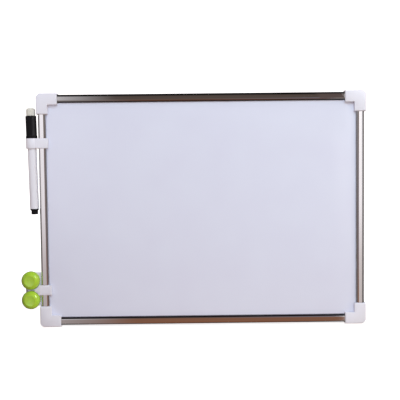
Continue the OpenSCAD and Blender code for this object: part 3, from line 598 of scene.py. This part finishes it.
# %% Dark card
def upright_panel(name, origin, turn, low, high, finish):
    """An upright panel in the studio, from low to high, both measured from its origin."""
    bpy.ops.mesh.primitive_plane_add(size=1, rotation=turn, location=origin)
    panel = bpy.context.object
    panel.name = name
    bpy.ops.object.transform_apply(location=False, rotation=True)
    for corner in panel.data.vertices:
        corner.co = [low[i] if corner.co[i] < 0 else high[i] for i in range(3)]
    panel.data.materials.append(finish)
    return panel


FACING_FRONT = (math.radians(90), 0, 0)
FACING_SIDE = (0, math.radians(90), 0)
CARD = {"distance": 0.45, "left": -0.254, "right": 0.249, "soft": 0.14, "bottom": -2.0, "top": 1.4}
card_finish = bpy.data.materials.new("dark_card")
card_finish.use_nodes = True
tree = card_finish.node_tree
tree.nodes.clear()
spot = add_node(tree, "SeparateXYZ", Vector=add_node(tree, "TexCoord").outputs["Object"])
rise = add_node(tree, "MapRange", Value=spot.outputs["Z"], From_Min=0.0, From_Max=0.5)
shade = add_node(tree, "ValToRGB", i0=rise.outputs["Result"])
shade.color_ramp.elements[0].color = (0.33, 0.15, 0.085, 1)
shade.color_ramp.elements[1].color = (0.03, 0.025, 0.024, 1)
shade.color_ramp.elements.new(0.35).color = (0.2, 0.12, 0.098, 1)
shade.color_ramp.elements.new(0.78).color = (0.19, 0.143, 0.122, 1)

# How solid the card is across its soft left edge
edge = add_node(tree, "MapRange", {"clamp": False}, Value=spot.outputs["X"], From_Min=CARD["left"],
                From_Max=CARD["left"] + CARD["soft"])
higher = add_node(tree, "MapRange", Value=spot.outputs["Z"], From_Min=0.2, From_Max=0.4,
                  To_Min=-0.12, To_Max=0.2)
across = add_node(tree, "Math", {"operation": "ADD", "use_clamp": True}, i0=edge.outputs["Result"],
                  i1=higher.outputs["Result"])
solid = add_node(tree, "ValToRGB", i0=across.outputs["Value"])
solid.color_ramp.elements[0].color = (0, 0, 0, 1)
for at, alpha in ((0.1, 0.2), (0.4, 0.55), (0.75, 0.85)):
    solid.color_ramp.elements.new(at).color = (alpha, alpha, alpha, 1)
greyer = add_node(tree, "MapRange", Value=edge.outputs["Result"], To_Min=0.15, To_Max=1.0)
toned = add_node(tree, "HueSaturation", Color=shade.outputs["Color"], Saturation=greyer.outputs["Result"])

# The paler patch on its right side
beside = add_node(tree, "MapRange", Value=spot.outputs["X"], From_Min=0.02, From_Max=0.2)
midway = add_node(tree, "ValToRGB", i0=rise.outputs["Result"])
midway.color_ramp.elements[0].color = (0, 0, 0, 1)
midway.color_ramp.elements[0].position = 0.16
midway.color_ramp.elements[1].color = (0, 0, 0, 1)
midway.color_ramp.elements[1].position = 0.74
for at in (0.32, 0.6):
    midway.color_ramp.elements.new(at).color = (1, 1, 1, 1)
pane = add_node(tree, "Math", {"operation": "MULTIPLY"}, i0=beside.outputs["Result"],
                i1=midway.outputs["Color"])
paned = add_node(tree, "Mix", {"data_type": "RGBA"}, i0=pane.outputs["Value"], i6=toned.outputs["Color"],
                 i7=(0.28, 0.28, 0.35, 1))
glow = add_node(tree, "Emission", Color=paned.outputs[2])
clear = add_node(tree, "BsdfTransparent")
mixed = add_node(tree, "MixShader", i0=solid.outputs["Color"], i1=clear.outputs[0], i2=glow.outputs[0])
add_node(tree, "OutputMaterial", Surface=mixed.outputs[0])
card = upright_panel("dark_card", (0, cad_low.y - CARD["distance"], 0), FACING_FRONT,
                     (CARD["left"], 0, CARD["bottom"]), (CARD["right"], 0, CARD["top"]), card_finish)
card.visible_camera = card.visible_diffuse = card.visible_shadow = card.visible_transmission = False

# %% [markdown]
# The top rail stays dark to its right end, while the right rail beside it is bright. A far card can't tell
# two places so near each other apart, so a small one stands 10 cm before the end of the top rail and ends
# short of the other.

# %% Small dark card
SMALL_CARD = {"distance": 0.1, "middle": 0.1675, "above": 0.045, "width": 0.031, "height": 0.11}
top_rail = [v.co for v in frame["nodes"]["rail_top"].data.vertices]
small_finish = new_finish("small_dark_card", Base_Color=(0, 0, 0, 1), Specular_IOR_Level=0.0,
                          Emission_Color=(0.15, 0.11, 0.102, 1), Emission_Strength=1.0)[0]
small_place = (SMALL_CARD["middle"], min(p.y for p in top_rail) - SMALL_CARD["distance"],
               max(p.z for p in top_rail) + SMALL_CARD["above"])
small_half = Vector((SMALL_CARD["width"] / 2, 0, SMALL_CARD["height"] / 2))
small_card = upright_panel("small_dark_card", small_place, FACING_FRONT, -small_half, small_half,
                           small_finish)
small_card.visible_camera = small_card.visible_diffuse = small_card.visible_shadow = False

# %% [markdown]
# The lower left corner stood beside something dark and reddish that took light from it. A flag does the
# same here: a small upright panel close to that corner, which neither the camera nor a mirror sees.

# %% Flag at the lower left
FLAG = {"beside": 0.03, "y": -0.1, "z": 0.07, "depth": 0.3, "height": 0.13}
flag_finish = new_finish("reddish_flag", Base_Color=linear("#7c504c"), Roughness=1.0,
                         Specular_IOR_Level=0.0)[0]
flag_half = Vector((0, FLAG["depth"] / 2, FLAG["height"] / 2))
flag_place = (cad_low.x - FLAG["beside"], FLAG["y"], FLAG["z"])
flag = upright_panel("flag", flag_place, FACING_SIDE, -flag_half, flag_half, flag_finish)
flag.visible_camera = flag.visible_glossy = False

# %% [markdown]
# Three soft lamps light the board. A cool one high in front and a warm, weaker one low on the right give
# the even light and the soft shadows, and mirrors don't see them. The third is there for mirrors only: it
# is the bright spot on the magnets and on the glossy plastics.

# %% Lamps
def area_lamp(name, azimuth_deg, elevation_deg, distance, size, power, colour):
    """A soft lamp aimed at the middle of the object; its azimuth is from the front to the right."""
    a, e = math.radians(azimuth_deg), math.radians(elevation_deg)
    away = Vector((math.sin(a) * math.cos(e), -math.cos(a) * math.cos(e), math.sin(e)))
    target = (cad_low + cad_high) / 2
    bpy.ops.object.light_add(type="AREA", location=target + distance * away)
    lamp = bpy.context.object
    lamp.name = name
    lamp.rotation_euler = away.to_track_quat("Z", "Y").to_euler()
    lamp.data.size = size
    lamp.data.energy = power
    lamp.data.color = colour
    return lamp


key_lamp = area_lamp("key_lamp", azimuth_deg=15, elevation_deg=52, distance=1.1, size=0.6, power=6.06,
                     colour=(0.63, 0.85, 1.0))
side_lamp = area_lamp("side_lamp", azimuth_deg=70, elevation_deg=10, distance=0.9, size=0.6, power=1.6,
                      colour=(1.0, 0.92, 0.69))
key_lamp.visible_glossy = side_lamp.visible_glossy = False
gleam = area_lamp("gleam", azimuth_deg=66, elevation_deg=42, distance=1.1, size=0.5, power=5,
                  colour=(1.0, 1.0, 1.0))
gleam.visible_diffuse = False
bpy.context.scene.view_settings.view_transform = "Standard"
